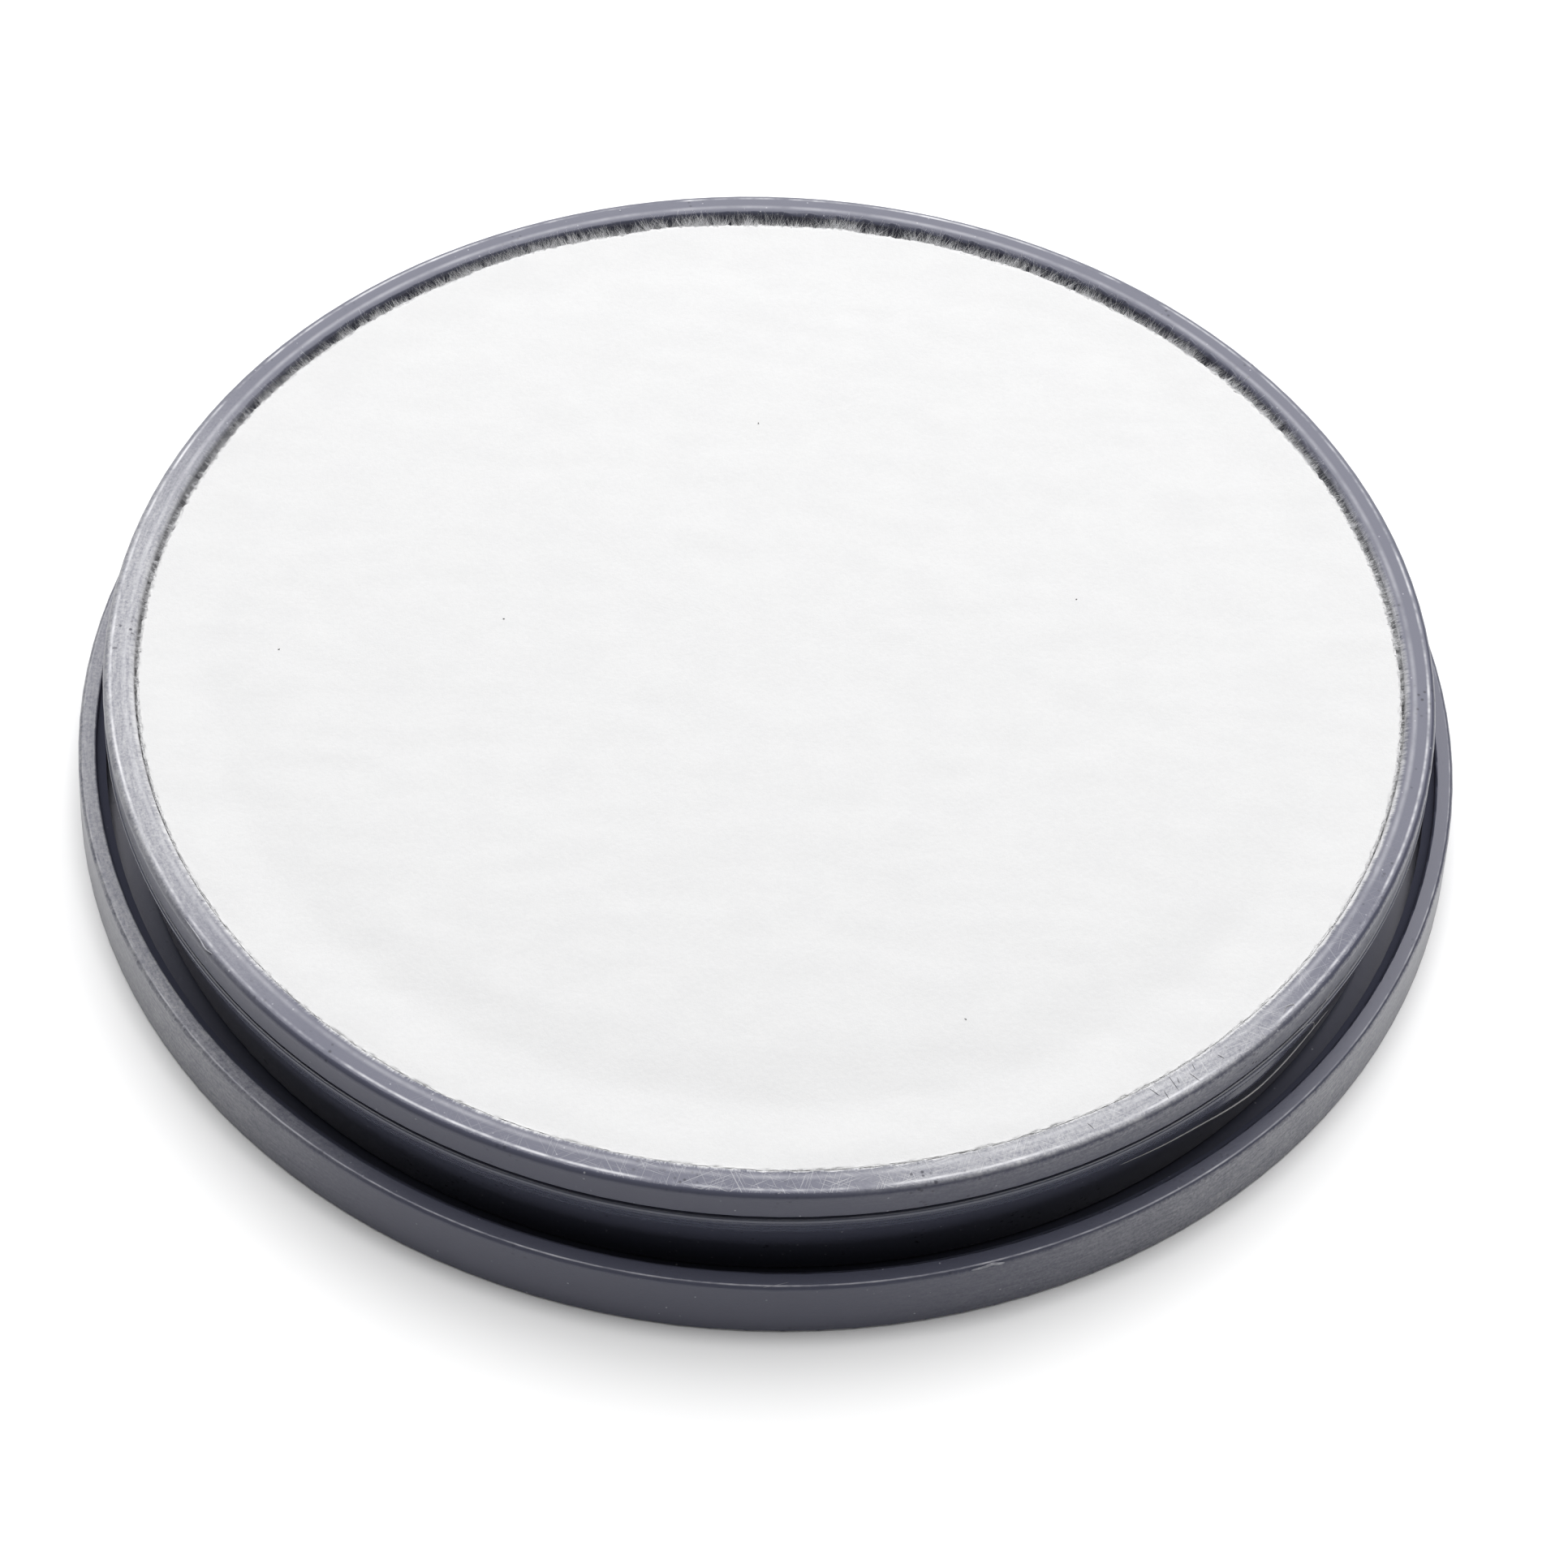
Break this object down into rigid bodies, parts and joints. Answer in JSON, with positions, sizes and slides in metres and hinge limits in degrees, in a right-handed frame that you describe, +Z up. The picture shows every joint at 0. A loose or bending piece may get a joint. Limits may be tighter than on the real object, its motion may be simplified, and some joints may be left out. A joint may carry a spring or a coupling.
{
  "type": "round wet palette",
  "caption": "Shallow round moulded tub holding a water sponge under a white absorbent mixing disc, standing in its own upturned snap lid, with a sealing band round its neck.",
  "frame": {"origin": "centre of the flat face that the upturned lid rests on", "axes": "+Z up along the axis of the tub and lid, out of the tub's mouth; +X and +Y are free, because the part is round"},
  "size_m": [0.0836, 0.0836, 0.0098],
  "materials": {
    "slate_plastic": "satin moulded polypropylene, dark slate blue-grey, with fine pits, rub marks and a pale dried film on the rim",
    "band_rubber": "satin elastomer in the tub's own colour",
    "sponge": "open-celled cellulose sponge, off-white",
    "white_felt": "white non-woven absorbent felt with a soft fibrous edge"
  },
  "bodies": {
    "lid": {"lid": "slate_plastic"},
    "tub": {"tub": "slate_plastic", "sealing_band": "band_rubber"},
    "sponge": {"reservoir_sponge": "sponge"},
    "membrane": {"palette_membrane": "white_felt"}
  },
  "joints": [
    {"name": "tub_lift", "type": "slide", "parent": "lid", "child": "tub", "axis": [0, 0, 1], "range_m": [0, 0.03]},
    {"name": "sponge_lift", "type": "slide", "parent": "tub", "child": "sponge", "axis": [0, 0, 1], "range_m": [0, 0.02]},
    {"name": "membrane_lift", "type": "slide", "parent": "sponge", "child": "membrane", "axis": [0, 0, 1], "range_m": [0, 0.015]}
  ]
}
